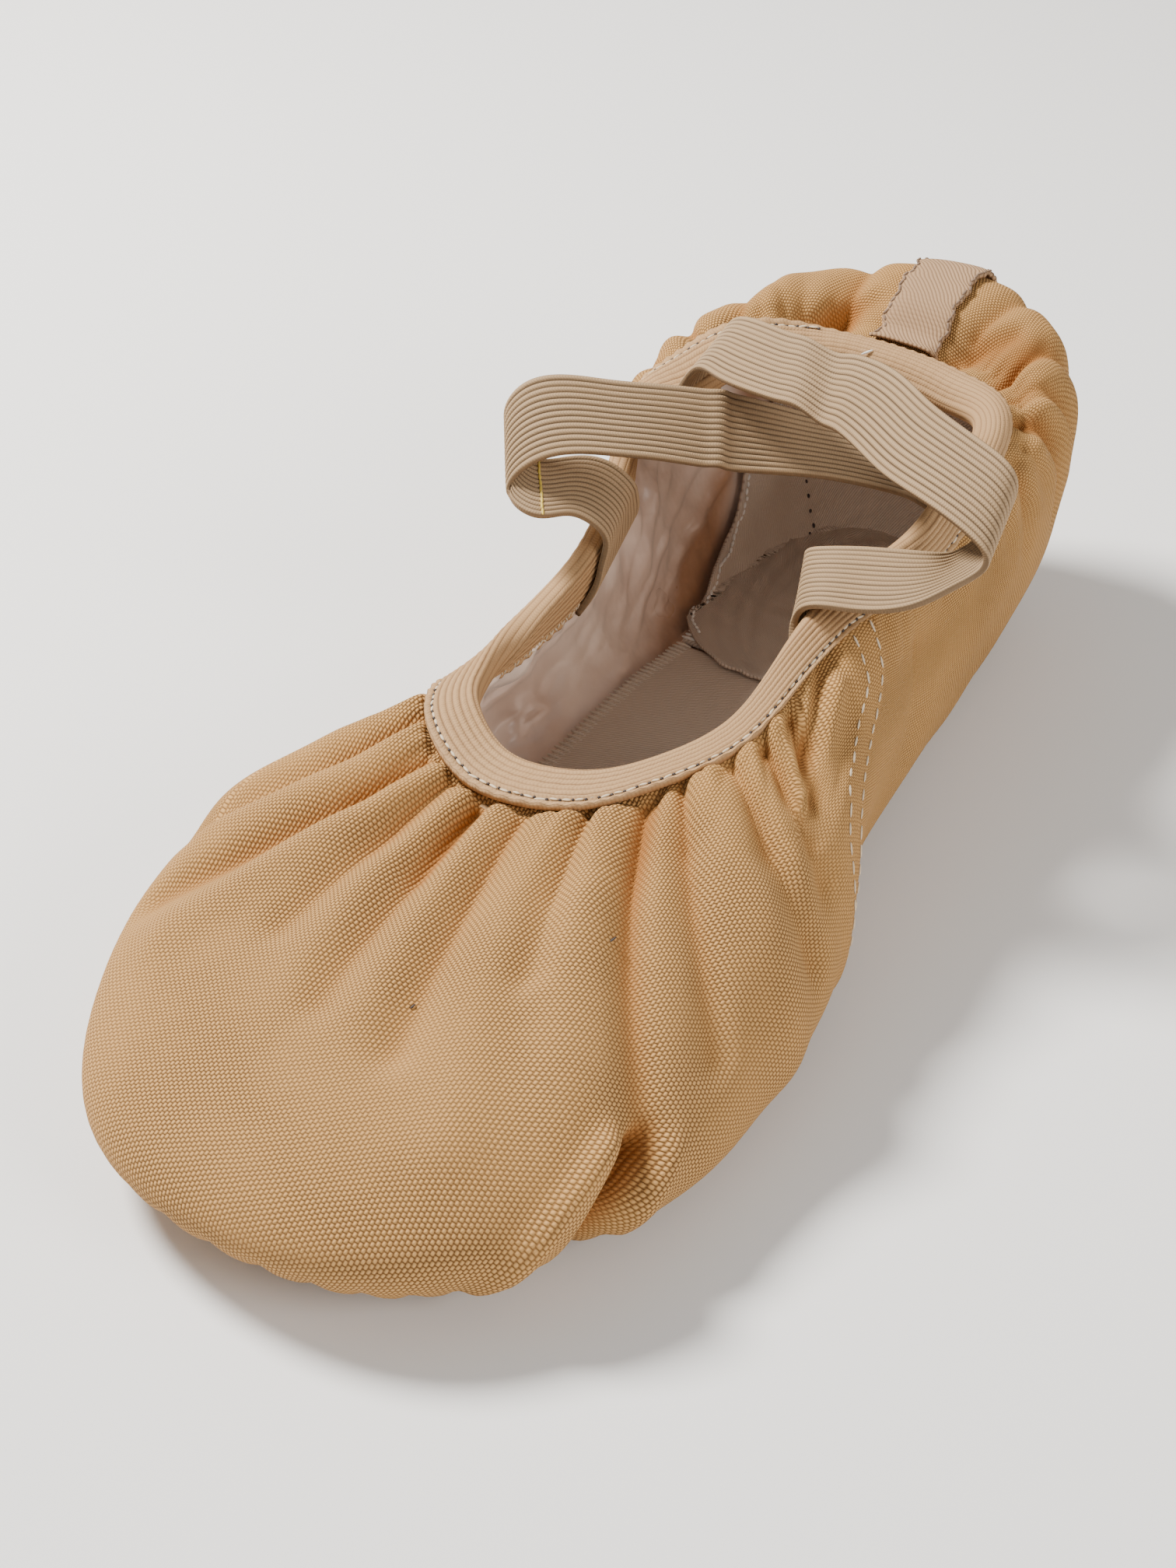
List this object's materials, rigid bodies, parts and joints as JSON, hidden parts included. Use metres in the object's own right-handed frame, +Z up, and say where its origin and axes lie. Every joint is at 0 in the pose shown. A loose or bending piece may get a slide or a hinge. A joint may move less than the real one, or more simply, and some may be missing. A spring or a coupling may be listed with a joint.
{
  "type": "ballet shoe",
  "caption": "Soft canvas ballet slipper with a gathered elastic collar, crossed elastic instep straps and a split suede sole.",
  "frame": {"origin": "on the floor under the middle of the shoe's length and width", "axes": "+X from the heel towards the toe, +Y towards the wearer's left, +Z up"},
  "size_m": [0.2084, 0.0898, 0.0648],
  "materials": {
    "canvas": "plain-woven cotton canvas in a warm tan, matt",
    "collar_elastic": "fine ribbed tan elastic, matt",
    "suede": "brushed tan suede, nap up",
    "insole_cotton": "off-white cotton twill, matt",
    "strap_elastic": "ribbed beige elastic, slight sheen on the ribs",
    "seam_tape": "grey-beige twill tape, matt"
  },
  "bodies": {
    "root": {"upper": "canvas", "collar_binding": "collar_elastic", "outsole_forefoot": "suede", "outsole_heel": "suede", "insole_forefoot": "insole_cotton", "insole_heel": "insole_cotton", "strap_over": "strap_elastic", "strap_under": "strap_elastic", "heel_seam_tape": "seam_tape"}
  },
  "joints": []
}
